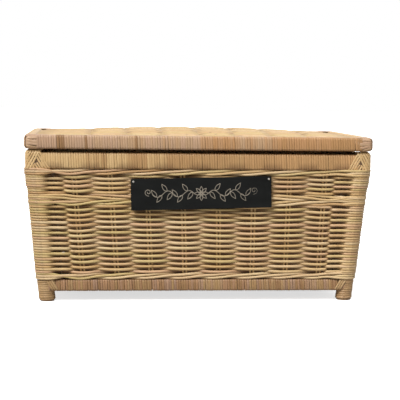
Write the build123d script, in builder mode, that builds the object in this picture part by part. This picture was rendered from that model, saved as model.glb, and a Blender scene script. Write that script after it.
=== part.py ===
"""Wicker storage trunk: a woven basket chest on four corner posts, with a hinged, slightly domed woven lid.

The trunk stands on z = 0 with its front towards -Y and its width along X. The origin is on the floor, under the
middle of the lid. The body flares towards the rim, so every post leans outwards, and the walls lean with them.
"""

import math
import os

from build123d import *

# Lid
LID_WIDTH = 800.0  # over the corner bindings
LID_DEPTH = 450.0
LID_BOTTOM = 353.0
LID_BAND_HEIGHT = 32.0
LID_TOP = 398.0  # crown of the dome
LID_BINDING_PROUD = 1.0  # of the corner bindings over the wrapped band

# Heights of the body's courses
FOOT_TOP = 24.0
BASE_TOP = 52.0
RIM_BOTTOM = 308.0
RIM_TOP = 345.5
LID_REST = 352.7  # top of the rim's corner bindings, 0.3 under the lid

# Rim and base, out from the lines of the corner posts
RIM_WIDTH = 792.0
RIM_DEPTH = 434.0
LEAN = math.tan(math.radians(4.75))  # outward run of a post per unit of height, in X and in Y
RIM_FACE = 21.0  # rim's outer face, out from the post line
BASE_FACE = 18.0
WALL_FACE = 16.5  # outer side of the wall weave

# Sections
RAIL_THICK = 24.0  # over the peel wrap
WRAP = 3.0  # thickness of a peel wrap
POST_RADIUS = 16.0
FOOT_RADIUS = POST_RADIUS + WRAP
CORNER_RADIUS = 21.5  # over the weavers that pass round a post
WEAVE_THICK = 15.0
BINDING_LENGTH = 46.0  # of a corner binding along each rail
ROD = 4.5  # diameter of a stake
PAIR_GAP = 7.7  # between the centres of a double stake's rods
SLOT_WIDTH = PAIR_GAP + ROD + 0.6
END_SLOT_WIDTH = ROD + 0.6
SLOT_THICK = ROD + 0.7
LONG_PAIRS = 8  # double stakes in a long wall, and ribs in the lid and the base
SHORT_PAIRS = 4
END_STAKE = 38.0  # a single stake stands this far from each post's axis
FRONT_FEET_SHIFT = 9.0  # the front wall's stakes stand this far to the right of even spacing at their feet
FRONT_HEADS_SHIFT = 1.0  # and this far at their heads
SNUG = 0.05  # clearance round a bar that another piece is notched for

# Base
FLOOR_BOTTOM = 31.0
FLOOR_TOP = 45.0
CROSSBAR_WIDTH = 24.0
CROSSBAR_X = 117.0

# Name plate, on the front wall
PLATE_WIDTH = 323.0
PLATE_HEIGHT = 72.0
PLATE_THICK = 4.0
PLATE_X = 3.5
PLATE_Z = 254.0
PLATE_TILT = 1.5  # degrees, right end up
NAIL_INSET = 6.0
NAIL_RADIUS = 1.0
NAIL_LENGTH = 18.0
NAIL_HEAD_RADIUS = 2.3

# Hinges: a pin line along the back of the rim, midway up the gap under the lid
HINGE_X = 250.0
HINGE_WIDTH = 60.0
LEAF_LENGTH = 15.0
LEAF_THICK = 1.2
KNUCKLE_RADIUS = 3.1
KNUCKLES = 5
KNUCKLE_GAP = 0.3
PIN_RADIUS = 1.5
PIN_CLEARANCE = 0.05
SCREW_RADIUS = 1.5
SCREW_HEAD_RADIUS = 2.9
SCREW_LENGTH = 14.0
SCREW_SPACING = 21.0

# What follows from them
RIM_MIDDLE = (RIM_BOTTOM + RIM_TOP) / 2
BASE_MIDDLE = (FOOT_TOP + BASE_TOP) / 2
POST_X = RIM_WIDTH / 2 - RIM_FACE  # a post's axis at the middle of the rim
POST_Y = RIM_DEPTH / 2 - RIM_FACE
POST_TOP = RIM_TOP + WRAP
WALL_MIDDLE = WALL_FACE - WEAVE_THICK / 2
LID_BAND_TOP = LID_BOTTOM + LID_BAND_HEIGHT
LID_BAND_X = LID_WIDTH / 2 - LID_BINDING_PROUD
LID_BAND_Y = LID_DEPTH / 2 - LID_BINDING_PROUD
LID_WEAVE_X = LID_BAND_X - RAIL_THICK
LID_WEAVE_Y = LID_BAND_Y - RAIL_THICK
LID_WEAVE_THICK = 12.0
LID_EDGE_TOP = LID_BAND_TOP - 1.0
LID_RISE = LID_TOP - LID_EDGE_TOP
PIN_Y = RIM_DEPTH / 2
PIN_Z = (RIM_TOP + LID_BOTTOM) / 2
LEAF_MIDDLE = PIN_Y - LEAF_LENGTH + 6.5  # line of the screws

SIDES = {  # outward direction, and direction along the wall
    "front": ((0, -1), (1, 0)),
    "rear": ((0, 1), (-1, 0)),
    "left": ((-1, 0), (0, -1)),
    "right": ((1, 0), (0, 1)),
}
CORNERS = {"front_left": (-1, -1), "front_right": (1, -1), "rear_left": (-1, 1), "rear_right": (1, 1)}

pieces = {}


def keep(name, part):
    """Labels a finished piece and keeps it for writing."""
    part.label = name
    pieces[name] = part


def post_x(z):
    """Distance of a post's axis from the middle of the trunk, along X, at height z."""
    return POST_X - (RIM_MIDDLE - z) * LEAN


def post_y(z):
    """The same along Y."""
    return POST_Y - (RIM_MIDDLE - z) * LEAN


def out_distance(side, z):
    """Distance of the post line from the middle, square to a wall."""
    return post_y(z) if side in ("front", "rear") else post_x(z)


def half_span(side, z):
    """Half the distance between the two posts at a wall's ends."""
    return post_x(z) if side in ("front", "rear") else post_y(z)


def pair_fractions(count):
    """Places of evenly spaced double stakes, as fractions of the half span."""
    return [2 * k / (count + 1) - 1 for k in range(1, count + 1)]


def wall_plane(side, z, outset):
    """Plane of a leaning wall: X along the wall, Y up the slope, Z outwards, at a distance out from the posts."""
    out, along = SIDES[side]
    reach = out_distance(side, z) + outset
    return Plane(
        origin=(out[0] * reach, out[1] * reach, z),
        x_dir=(along[0], along[1], 0),
        z_dir=(out[0], out[1], -LEAN),
    )


def rail_plane(side, reach, z):
    """Plane across a level rail, with its X outwards and its Y up or down."""
    out, along = SIDES[side]
    return Plane(
        origin=(out[0] * reach, out[1] * reach, z),
        x_dir=(out[0], out[1], 0),
        z_dir=(along[0], along[1], 0),
    )


def post_line_bar(corner, radius, bottom, top, hollow=0.0):
    """A round bar or sleeve on the axis of a corner post, cut level at both ends."""
    sign_x, sign_y = CORNERS[corner]
    start = bottom - radius
    with BuildPart() as bar:
        origin = (sign_x * post_x(start), sign_y * post_y(start), start)
        with BuildSketch(Plane(origin=origin, z_dir=(sign_x * LEAN, sign_y * LEAN, 1))):
            Circle(radius)
            if hollow:
                Circle(hollow, mode=Mode.SUBTRACT)
        extrude(amount=(top - bottom + 2 * radius) * math.sqrt(1 + 2 * LEAN**2))
        split(bisect_by=Plane.XY.offset(top), keep=Keep.BOTTOM)
        split(bisect_by=Plane.XY.offset(bottom), keep=Keep.TOP)
    return bar.part


def corner_bars(radius, bottom, top):
    """The same bar at all four corners, for cutting other pieces to fit."""
    return [post_line_bar(corner, radius, bottom, top) for corner in CORNERS]


def straight_rod(start, end, radius, bottom, top):
    """A rod from one point to another, cut level at both ends."""
    direction = Vector(*end) - Vector(*start)
    with BuildPart() as rod:
        with BuildSketch(Plane(origin=Vector(*start) - direction * 0.05, z_dir=direction)):
            Circle(radius)
        extrude(amount=direction.length * 1.1)
        split(bisect_by=Plane.XY.offset(top), keep=Keep.BOTTOM)
        split(bisect_by=Plane.XY.offset(bottom), keep=Keep.TOP)
    return rod.part


def group(parts):
    """Several separate solids as one part."""
    with BuildPart() as together:
        for part in parts:
            add(part)
    return together.part


def corner_posts():
    for corner in CORNERS:
        keep(f"corner_post_{corner}", post_line_bar(corner, POST_RADIUS, 0, POST_TOP))


def foot_wraps():
    """Peel wound round the foot of each post, up to the wall weave; the pole's end stands just below it."""
    sleeves = [post_line_bar(c, FOOT_RADIUS, 1.0, BASE_TOP, POST_RADIUS + SNUG) for c in CORNERS]
    keep("foot_wraps", group(sleeves))


def lath(side, reach, z, thick, height, half_length, notches):
    """A wooden rail with eased edges, notched round the posts at its ends."""
    with BuildPart() as rail:
        with BuildSketch(rail_plane(side, reach, z)):
            RectangleRounded(thick, height, 2)
        extrude(amount=half_length, both=True)
        for notch in notches:
            add(notch, mode=Mode.SUBTRACT)
    return rail.part


def sleeve(side, reach, z, height, half_length, notches):
    """The peel wrap round a rail: a close-fitting tube with rounded corners."""
    with BuildPart() as wrap:
        with BuildSketch(rail_plane(side, reach, z)):
            RectangleRounded(RAIL_THICK, height, 5)
            RectangleRounded(RAIL_THICK - 2 * WRAP, height - 2 * WRAP, 2, mode=Mode.SUBTRACT)
        extrude(amount=half_length, both=True)
        for notch in notches:
            add(notch, mode=Mode.SUBTRACT)
    return wrap.part


def rim():
    """Rails between the post heads, their wraps, and the bindings that hold them to the posts."""
    height = RIM_TOP - RIM_BOTTOM
    notches = corner_bars(POST_RADIUS + SNUG, RIM_BOTTOM - 5, RIM_TOP + 5)
    for side in SIDES:
        reach = out_distance(side, RIM_MIDDLE) + RIM_FACE - RAIL_THICK / 2
        span = half_span(side, RIM_MIDDLE)
        inner = RAIL_THICK - 2 * WRAP
        keep(f"rim_rail_{side}", lath(side, reach, RIM_MIDDLE, inner, height - 2 * WRAP, span, notches))
        clear = span + RIM_FACE + LID_BINDING_PROUD - BINDING_LENGTH
        keep(f"rim_wrap_{side}", sleeve(side, reach, RIM_MIDDLE, height, clear, []))


def rim_corner_bindings():
    """Peel bound criss-cross over each post head and the ends of its two rails, proud enough to carry the lid."""
    face_x = RIM_WIDTH / 2 + LID_BINDING_PROUD
    face_y = RIM_DEPTH / 2 + LID_BINDING_PROUD
    strip = RAIL_THICK + 2 * LID_BINDING_PROUD
    bindings = []
    for corner, (sign_x, sign_y) in CORNERS.items():
        with BuildPart() as binding:
            with BuildSketch(Plane.XY.offset(RIM_BOTTOM)):
                with Locations((sign_x * (face_x - BINDING_LENGTH / 2), sign_y * (face_y - strip / 2))):
                    Rectangle(BINDING_LENGTH, strip)
                with Locations((sign_x * (face_x - strip / 2), sign_y * (face_y - BINDING_LENGTH / 2))):
                    Rectangle(strip, BINDING_LENGTH)
                with Locations((sign_x * POST_X, sign_y * POST_Y)):
                    Circle(FOOT_RADIUS)
            extrude(amount=LID_REST - RIM_BOTTOM)
            outer = binding.edges().filter_by(Axis.Z).sort_by_distance((sign_x * face_x, sign_y * face_y, RIM_MIDDLE))
            fillet(outer[0], 12)
            fillet(binding.faces().sort_by(Axis.Z)[-1].edges().group_by(Edge.length)[-1], 2)
            add(post_line_bar(corner, POST_RADIUS + SNUG, RIM_BOTTOM - 5, POST_TOP), mode=Mode.SUBTRACT)
            for side in SIDES:
                add(pieces[f"rim_rail_{side}"], mode=Mode.SUBTRACT)
        bindings.append(binding.part)
    keep("rim_corner_bindings", group(bindings))


def base_frame():
    """Rails and wraps round the bottom, notched at the wrapped feet, and two bars across under the floor."""
    height = BASE_TOP - FOOT_TOP
    notches = corner_bars(POST_RADIUS + SNUG, FOOT_TOP - 5, BASE_TOP + 5)
    wrap_notches = corner_bars(FOOT_RADIUS + SNUG, FOOT_TOP - 5, BASE_TOP + 5)
    for side in SIDES:
        reach = out_distance(side, BASE_MIDDLE) + BASE_FACE - RAIL_THICK / 2
        span = half_span(side, BASE_MIDDLE)
        inner = RAIL_THICK - 2 * WRAP
        rail_notches = wrap_notches + notches
        keep(f"base_rail_{side}", lath(side, reach, BASE_MIDDLE, inner, height - 2 * WRAP, span, rail_notches))
        keep(f"base_wrap_{side}", sleeve(side, reach, BASE_MIDDLE, height, span, wrap_notches))
    inside = post_y(BASE_MIDDLE) + BASE_FACE - RAIL_THICK
    for name, x in (("left", -CROSSBAR_X), ("right", CROSSBAR_X)):
        with BuildPart() as bar:
            with BuildSketch(Plane.XY.offset(FOOT_TOP)):
                with Locations((x, 0)):
                    Rectangle(CROSSBAR_WIDTH, 2 * inside)
            extrude(amount=FLOOR_BOTTOM - FOOT_TOP)
            chamfer(bar.faces().sort_by(Axis.Z)[0].edges().filter_by(Axis.Y), 1.5)
        keep(f"base_crossbar_{name}", bar.part)


def stake_place(side, fraction, z):
    """Place of a double stake along its wall at height z; the stakes fan out with the posts."""
    place = fraction * half_span(side, z)
    if side == "front":
        rise = (z - BASE_TOP) / (RIM_BOTTOM - BASE_TOP)
        place += FRONT_FEET_SHIFT + (FRONT_HEADS_SHIFT - FRONT_FEET_SHIFT) * rise
    return place


def rod_points(side, count, z):
    """Where a wall's rods pass height z: the two rods of each double stake, and a single stake beside each post."""
    out, along = SIDES[side]
    reach = out_distance(side, z) + WALL_MIDDLE
    pairs = [stake_place(side, fraction, z) for fraction in pair_fractions(count)]
    places = [place + shift for place in pairs for shift in (-PAIR_GAP / 2, PAIR_GAP / 2)]
    end = half_span(side, z) - END_STAKE
    return [
        (out[0] * reach + along[0] * place, out[1] * reach + along[1] * place, z) for place in (-end, *places, end)
    ]


def wall_stakes(side, count):
    """All the stakes of one wall."""
    lows = rod_points(side, count, BASE_TOP)
    highs = rod_points(side, count, RIM_BOTTOM)
    rods = [straight_rod(low, high, ROD / 2, BASE_TOP, RIM_BOTTOM) for low, high in zip(lows, highs)]
    keep(f"wall_stakes_{side}", group(rods))


def slot_places(side, count, z):
    """Middle and half width, at height z, of each slot that a wall's weave has for its stakes."""
    pairs = [(stake_place(side, fraction, z), SLOT_WIDTH / 2) for fraction in pair_fractions(count)]
    end = half_span(side, z) - END_STAKE
    return [(-end, END_SLOT_WIDTH / 2), *pairs, (end, END_SLOT_WIDTH / 2)]


def wall_weave(side, count, notches):
    """The woven panel of one wall as a plain slab, with a slot for each stake."""
    middle = (BASE_TOP + RIM_BOTTOM) / 2
    slope = math.sqrt(1 + LEAN**2)
    low = (BASE_TOP - middle - 5) * slope
    high = (RIM_BOTTOM - middle + 5) * slope
    low_span = half_span(side, BASE_TOP - 5)
    high_span = half_span(side, RIM_BOTTOM + 5)
    feet = slot_places(side, count, BASE_TOP - 5)
    heads = slot_places(side, count, RIM_BOTTOM + 5)
    with BuildPart() as panel:
        with BuildSketch(wall_plane(side, middle, WALL_MIDDLE)):
            with BuildLine():
                Polyline((-low_span, low), (low_span, low), (high_span, high), (-high_span, high), close=True)
            make_face()
        extrude(amount=WEAVE_THICK / 2, both=True)
        with BuildSketch(wall_plane(side, middle, WALL_MIDDLE)):
            for (foot, half), (head, _) in zip(feet, heads):
                with BuildLine():
                    Polyline((foot - half, low), (foot + half, low), (head + half, high), (head - half, high), close=True)
                make_face()
        extrude(amount=SLOT_THICK / 2, both=True, mode=Mode.SUBTRACT)
        for notch in notches:
            add(notch, mode=Mode.SUBTRACT)
        split(bisect_by=Plane.XY.offset(RIM_BOTTOM), keep=Keep.BOTTOM)
        split(bisect_by=Plane.XY.offset(BASE_TOP), keep=Keep.TOP)
    keep(f"wall_weave_{side}", panel.part)


def walls():
    notches = corner_bars(CORNER_RADIUS + SNUG, BASE_TOP - 10, RIM_BOTTOM + 10)
    for side in SIDES:
        count = LONG_PAIRS if side in ("front", "rear") else SHORT_PAIRS
        wall_stakes(side, count)
        wall_weave(side, count, notches)
    for corner in CORNERS:
        sleeve_part = post_line_bar(corner, CORNER_RADIUS, BASE_TOP, RIM_BOTTOM, POST_RADIUS + SNUG)
        keep(f"corner_weave_{corner}", sleeve_part)


def floor():
    """The woven floor on its double ribs, which run from front to back between the base rails."""
    inside_x = post_x(BASE_MIDDLE) + BASE_FACE - RAIL_THICK
    inside_y = post_y(BASE_MIDDLE) + BASE_FACE - RAIL_THICK
    middle = (FLOOR_BOTTOM + FLOOR_TOP) / 2
    places = [fraction * inside_x for fraction in pair_fractions(LONG_PAIRS)]
    with BuildPart() as weave:
        with BuildSketch(Plane.XY.offset(FLOOR_BOTTOM)):
            Rectangle(2 * inside_x, 2 * inside_y)
        extrude(amount=FLOOR_TOP - FLOOR_BOTTOM)
        with BuildSketch(Plane.XZ):
            with Locations([(x, middle) for x in places]):
                Rectangle(SLOT_WIDTH, SLOT_THICK)
        extrude(amount=inside_y + 1, both=True, mode=Mode.SUBTRACT)
        for notch in corner_bars(FOOT_RADIUS + SNUG, FLOOR_BOTTOM - 5, FLOOR_TOP + 5):
            add(notch, mode=Mode.SUBTRACT)
    keep("base_weave", weave.part)
    with BuildPart() as ribs:
        with BuildSketch(Plane.XZ):
            with Locations([(x + s * PAIR_GAP / 2, middle) for x in places for s in (-1, 1)]):
                Circle(ROD / 2)
        extrude(amount=inside_y, both=True)
    keep("base_ribs", ribs.part)


def lid_frame():
    """Rails, wraps and corner bindings of the lid; the long rails cover the ends of the short ones."""
    middle = (LID_BOTTOM + LID_BAND_TOP) / 2
    inner = RAIL_THICK - 2 * WRAP
    tall = LID_BAND_HEIGHT - 2 * WRAP
    for side in SIDES:
        long_side = side in ("front", "rear")
        reach = (LID_BAND_Y if long_side else LID_BAND_X) - RAIL_THICK / 2
        half_length = LID_BAND_X - WRAP if long_side else LID_BAND_Y - RAIL_THICK + WRAP
        keep(f"lid_rail_{side}", lath(side, reach, middle, inner, tall, half_length, []))
        clear = (LID_WIDTH if long_side else LID_DEPTH) / 2 - BINDING_LENGTH
        keep(f"lid_wrap_{side}", sleeve(side, reach, middle, LID_BAND_HEIGHT, clear, []))
    bindings = []
    strip = RAIL_THICK + LID_BINDING_PROUD
    for sign_x, sign_y in CORNERS.values():
        face_x = LID_WIDTH / 2
        face_y = LID_DEPTH / 2
        with BuildPart() as binding:
            with BuildSketch(Plane.XY.offset(LID_BOTTOM)):
                with Locations((sign_x * (face_x - BINDING_LENGTH / 2), sign_y * (face_y - strip / 2))):
                    Rectangle(BINDING_LENGTH, strip)
                with Locations((sign_x * (face_x - strip / 2), sign_y * (face_y - BINDING_LENGTH / 2))):
                    Rectangle(strip, BINDING_LENGTH)
            extrude(amount=LID_BAND_HEIGHT + LID_BINDING_PROUD)
            outer = binding.edges().filter_by(Axis.Z).sort_by_distance((sign_x * face_x, sign_y * face_y, middle))
            fillet(outer[0], 14)
            for side in SIDES:
                add(pieces[f"lid_rail_{side}"], mode=Mode.SUBTRACT)
        bindings.append(binding.part)
    keep("lid_corner_bindings", group(bindings))


def lid_rise(x):
    """Rise of the dome over its edge, at a distance x from the middle of the lid."""
    return 0.5 + (LID_RISE - 0.5) * (1 - (x / LID_WEAVE_X) ** 2)


def arch_band(x, bottom, thick):
    """Outline of the dome's section at x: two arcs and two short ends."""
    rise = lid_rise(x)
    half = LID_WEAVE_Y
    with BuildSketch(Plane.YZ.offset(x)) as band:
        with BuildLine():
            ThreePointArc((-half, bottom), (0, bottom + rise), (half, bottom))
            Line((half, bottom), (half, bottom + thick))
            ThreePointArc((half, bottom + thick), (0, bottom + thick + rise), (-half, bottom + thick))
            Line((-half, bottom + thick), (-half, bottom))
        make_face()
    return band.sketch


def lid_weave():
    """The domed woven panel and the double ribs that it is woven on."""
    places = [fraction * LID_WEAVE_X for fraction in pair_fractions(LONG_PAIRS)]
    stations = [-LID_WEAVE_X, *places, LID_WEAVE_X]
    bottom = LID_EDGE_TOP - LID_WEAVE_THICK
    middle = LID_EDGE_TOP - LID_WEAVE_THICK / 2
    with BuildPart() as dome:
        for x in stations:
            add(arch_band(x, bottom, LID_WEAVE_THICK))
        loft()
        for x in places:
            add(arch_band(x, middle - SLOT_THICK / 2, SLOT_THICK))
            extrude(amount=SLOT_WIDTH / 2, dir=(1, 0, 0), both=True, mode=Mode.SUBTRACT)
        for binding in pieces["lid_corner_bindings"].solids():
            add(binding, mode=Mode.SUBTRACT)
    keep("lid_weave", dome.part)
    rods = []
    for place in places:
        for x in (place - PAIR_GAP / 2, place + PAIR_GAP / 2):
            with BuildPart() as rib:
                with BuildLine(Plane.YZ.offset(x)) as path:
                    ThreePointArc((-LID_WEAVE_Y, middle), (0, middle + lid_rise(place)), (LID_WEAVE_Y, middle))
                with BuildSketch(Plane(origin=path.line @ 0, z_dir=path.line % 0)):
                    Circle(ROD / 2)
                sweep()
                split(bisect_by=Plane.XZ.offset(LID_WEAVE_Y), keep=Keep.BOTTOM)
                split(bisect_by=Plane.XZ.offset(-LID_WEAVE_Y), keep=Keep.TOP)
            rods.append(rib.part)
    keep("lid_ribs", group(rods))


def knuckle_spans(on_lid):
    """Start and end along X of the knuckles that belong to the lid's leaf or to the body's."""
    pitch = HINGE_WIDTH / KNUCKLES
    spans = []
    for k in range(KNUCKLES):
        if (k % 2 == 1) == on_lid:
            start = -HINGE_WIDTH / 2 + k * pitch
            low = start + (KNUCKLE_GAP / 2 if k > 0 else 0)
            high = start + pitch - (KNUCKLE_GAP / 2 if k < KNUCKLES - 1 else 0)
            spans.append((low, high))
    return spans


def hinge_leaf(x, on_lid):
    """One leaf of a butt hinge: a screwed plate, tongues to its knuckles, and the knuckles round the pin."""
    face = LID_BOTTOM if on_lid else RIM_TOP
    inward = -1 if on_lid else 1
    plate_end = PIN_Y - KNUCKLE_RADIUS - 0.5
    start = PIN_Y - LEAF_LENGTH
    with BuildPart() as leaf:
        with BuildSketch(Plane.XY.offset(face)):
            with Locations((x, (start + plate_end) / 2)):
                Rectangle(HINGE_WIDTH, plate_end - start)
            for low, high in knuckle_spans(on_lid):
                with Locations((x + (low + high) / 2, (start + PIN_Y) / 2)):
                    Rectangle(high - low, PIN_Y - start)
        extrude(amount=inward * LEAF_THICK)
        for low, high in knuckle_spans(on_lid):
            with BuildSketch(Plane.YZ.offset(x + low)):
                with Locations((PIN_Y, PIN_Z)):
                    Circle(KNUCKLE_RADIUS)
            extrude(amount=high - low)
        with BuildSketch(Plane.YZ.offset(x)):
            with Locations((PIN_Y, PIN_Z)):
                Circle(PIN_RADIUS + PIN_CLEARANCE)
        extrude(amount=HINGE_WIDTH, both=True, mode=Mode.SUBTRACT)
        outer_face = Plane(origin=(x, LEAF_MIDDLE, face + inward * LEAF_THICK), z_dir=(0, 0, inward))
        with Locations(outer_face):
            with Locations([(-SCREW_SPACING, 0), (0, 0), (SCREW_SPACING, 0)]):
                CounterSinkHole(SCREW_RADIUS + 0.1, SCREW_HEAD_RADIUS, counter_sink_angle=90)
    return leaf.part


def hinge_screws(on_lid):
    """The six countersunk wood screws of the body's two leaves, or of the lid's."""
    face = LID_BOTTOM - LEAF_THICK if on_lid else RIM_TOP + LEAF_THICK
    upwards = 1 if on_lid else -1
    head = SCREW_HEAD_RADIUS - SNUG
    shank = SCREW_RADIUS
    screws = []
    for hinge in (-HINGE_X, HINGE_X):
        for shift in (-SCREW_SPACING, 0, SCREW_SPACING):
            plane = Plane(
                origin=(hinge + shift, LEAF_MIDDLE, face), x_dir=(1, 0, 0), z_dir=(0, -upwards, 0)
            )
            with BuildPart() as screw:
                with BuildSketch(plane):
                    with BuildLine():
                        Polyline(
                            (0, 0),
                            (head, 0),
                            (shank, head - shank),
                            (shank, SCREW_LENGTH - 4),
                            (0, SCREW_LENGTH),
                            close=True,
                        )
                    make_face()
                revolve(axis=Axis((hinge + shift, LEAF_MIDDLE, face), (0, 0, 1)))
            screws.append(screw.part)
    return group(screws)


def hinges():
    for name, x in (("left", -HINGE_X), ("right", HINGE_X)):
        keep(f"hinge_{name}_body_leaf", hinge_leaf(x, False))
        keep(f"hinge_{name}_lid_leaf", hinge_leaf(x, True))
    with BuildPart() as pins:
        for x in (-HINGE_X, HINGE_X):
            with BuildSketch(Plane.YZ.offset(x - HINGE_WIDTH / 2)):
                with Locations((PIN_Y, PIN_Z)):
                    Circle(PIN_RADIUS)
            extrude(amount=HINGE_WIDTH)
    keep("hinge_pins", pins.part)
    keep("body_hinge_screws", hinge_screws(False))
    keep("lid_hinge_screws", hinge_screws(True))


def name_plate():
    """A thin plate hung a little crooked by two nails at its upper corners. It hangs upright, so that its higher
    corner touches the leaning front wall and its lower edge stands off."""
    angle = math.radians(PLATE_TILT)
    top = PLATE_Z + PLATE_HEIGHT / 2 * math.cos(angle) + PLATE_WIDTH / 2 * math.sin(angle)
    reach = out_distance("front", top) + WALL_MIDDLE + WEAVE_THICK / 2 * math.sqrt(1 + LEAN**2)
    plane = Plane(origin=(0, -reach, PLATE_Z), x_dir=(1, 0, 0), z_dir=(0, -1, 0))
    across = PLATE_WIDTH / 2 - NAIL_INSET
    up = PLATE_HEIGHT / 2 - NAIL_INSET
    holes = []
    for sign in (-1, 1):
        x = PLATE_X + sign * across * math.cos(angle) - up * math.sin(angle)
        holes.append((x, sign * across * math.sin(angle) + up * math.cos(angle)))
    with BuildPart() as plate:
        with BuildSketch(plane):
            with Locations((PLATE_X, 0)):
                RectangleRounded(PLATE_WIDTH, PLATE_HEIGHT, 2, rotation=PLATE_TILT)
            with Locations(holes):
                Circle(NAIL_RADIUS + 0.1, mode=Mode.SUBTRACT)
        extrude(amount=PLATE_THICK)
        front = plate.faces().filter_by(Plane(origin=(0, 0, 0), z_dir=plane.z_dir)).sort_by(Axis.Y)[0]
        chamfer(front.outer_wire().edges(), 0.8)
    keep("name_plate", plate.part)
    with BuildPart() as nails:
        with BuildSketch(plane.offset(PLATE_THICK)):
            with Locations(holes):
                Circle(NAIL_HEAD_RADIUS)
        extrude(amount=1.2)
        chamfer(nails.edges().filter_by(GeomType.CIRCLE).group_by(Axis.Y)[0], 0.6)
        with BuildSketch(plane.offset(PLATE_THICK)):
            with Locations(holes):
                Circle(NAIL_RADIUS)
        extrude(amount=-NAIL_LENGTH)
    keep("plate_nails", nails.part)


corner_posts()
foot_wraps()
rim()
rim_corner_bindings()
base_frame()
walls()
floor()
lid_frame()
lid_weave()
hinges()
name_plate()

os.makedirs("parts", exist_ok=True)
for name, part in pieces.items():
    export_step(part, f"parts/{name}.step")
print(len(pieces), "pieces written")
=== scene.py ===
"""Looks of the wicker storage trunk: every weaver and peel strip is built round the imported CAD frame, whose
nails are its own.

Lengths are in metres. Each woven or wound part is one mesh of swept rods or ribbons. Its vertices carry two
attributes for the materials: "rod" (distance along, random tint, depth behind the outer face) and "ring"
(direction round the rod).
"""

import math

import bpy
import numpy as np
from mathutils import Euler, Matrix, Vector

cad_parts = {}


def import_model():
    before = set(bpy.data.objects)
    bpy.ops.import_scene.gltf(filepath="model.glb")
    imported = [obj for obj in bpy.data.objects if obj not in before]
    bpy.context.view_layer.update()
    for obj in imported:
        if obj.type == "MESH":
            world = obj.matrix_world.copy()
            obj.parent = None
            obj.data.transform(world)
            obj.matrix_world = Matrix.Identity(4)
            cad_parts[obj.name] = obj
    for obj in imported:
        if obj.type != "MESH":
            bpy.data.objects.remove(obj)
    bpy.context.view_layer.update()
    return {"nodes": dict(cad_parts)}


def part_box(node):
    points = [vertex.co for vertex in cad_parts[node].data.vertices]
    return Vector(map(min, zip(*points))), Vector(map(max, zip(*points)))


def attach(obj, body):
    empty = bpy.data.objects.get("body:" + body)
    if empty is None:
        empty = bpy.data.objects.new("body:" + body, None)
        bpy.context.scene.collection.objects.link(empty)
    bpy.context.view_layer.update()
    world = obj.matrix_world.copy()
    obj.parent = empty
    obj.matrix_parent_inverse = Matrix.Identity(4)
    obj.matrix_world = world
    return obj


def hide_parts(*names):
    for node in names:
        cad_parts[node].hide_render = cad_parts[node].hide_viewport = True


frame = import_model()

# Rods and peel
WEAVER = 0.00322  # radius of a weaver
STAKE = 0.00225  # radius of a stake
WALE = 0.00295  # radius of a wale's rods
WALE_CLIMB = 0.0072  # a wale's rod climbs this far over each double stake that it passes
ROW = 0.0061  # height of one row of weaving
END_STAKE = 0.038  # from a post's axis to the single stake beside it
STRIP = 0.0057  # pitch of the wound peel
CREST = 0.0007  # how far a strip's middle stands over its edges
RING = 8  # sides of a rod's section

# Places that the frame's boxes give
POST_RADIUS = 0.016
WALL_OUT = 0.009  # middle of a wall's weave, out from the line of the posts
FRONT_FEET_SHIFT = 0.009  # sideways stand of the front stakes, as in the frame
FRONT_HEADS_SHIFT = 0.001
LONG_PAIRS = 8
SHORT_PAIRS = 4

UP = np.array([0.0, 0.0, 1.0])
rng = np.random.default_rng(20)


def corners(node):
    """Lowest and highest corner of a CAD node, as arrays."""
    low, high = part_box(node)
    return np.array(low), np.array(high)


post_low, post_high = corners("corner_post_front_right")
wall_low, wall_high = corners("wall_weave_front")
WALL_BOTTOM = wall_low[2]
WALL_TOP = wall_high[2]
POST_TOP = post_high[2]
SIDES = {  # outward direction and direction along the wall
    "front": ((0, -1), (1, 0)),
    "right": ((1, 0), (0, 1)),
    "rear": ((0, 1), (-1, 0)),
    "left": ((-1, 0), (0, -1)),
}
CORNERS = {  # signs of the post, and the walls before and after it, going round
    "front_right": ((1, -1), "front", "right"),
    "rear_right": ((1, 1), "right", "rear"),
    "rear_left": ((-1, 1), "rear", "left"),
    "front_left": ((-1, -1), "left", "front"),
}
SIGNS = [signs for signs, _, _ in CORNERS.values()]


def post_x(z):
    """Distance of a post's axis from the middle, along X, at height z."""
    foot = post_low[0] + POST_RADIUS
    head = post_high[0] - POST_RADIUS
    return foot + (head - foot) * z / POST_TOP


def post_y(z):
    """The same along Y."""
    foot = -post_high[1] + POST_RADIUS
    head = -post_low[1] - POST_RADIUS
    return foot + (head - foot) * z / POST_TOP


def wall_out(side, z):
    return post_y(z) if side in ("front", "rear") else post_x(z)


def wall_span(side, z):
    return post_x(z) if side in ("front", "rear") else post_y(z)


def smooth(t):
    t = np.clip(t, 0, 1)
    return t * t * (3 - 2 * t)


# ---- meshes


# Section of a strip of peel, as shares of its width and its crest, going round against the clock
RIBBON = np.array([
    (0.0, -0.6), (0.50, -0.35), (0.47, 0.30), (0.22, 0.88),
    (0.0, 1.0), (-0.22, 0.88), (-0.47, 0.30), (-0.50, -0.35),
])


def unit(vectors):
    return vectors / np.linalg.norm(vectors, axis=-1, keepdims=True)


def distances(path, start):
    """Distance along a path at each of its points."""
    steps = np.linalg.norm(np.diff(path, axis=0), axis=1)
    return start + np.concatenate([[0], np.cumsum(steps)])


def spread_out(value, path):
    """A value for each point of a path, ready to multiply the points of its sections."""
    return np.broadcast_to(value, len(path))[:, None, None]


def add_piece(name, mesh, body, material, slot, *replaced):
    """Puts a mesh in the scene with its body and material, and hides the CAD nodes that it stands for; slot is
    not used.
    """
    mesh.materials.append(material)
    piece = bpy.data.objects.new(name, mesh)
    bpy.context.collection.objects.link(piece)
    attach(piece, body)
    if replaced:
        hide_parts(*replaced)


def close_by(pair):
    """A section just inside the end one, so that an end cap keeps a sharp edge."""
    return (pair[0] + (pair[1] - pair[0]) * 0.02)[None]


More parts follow.
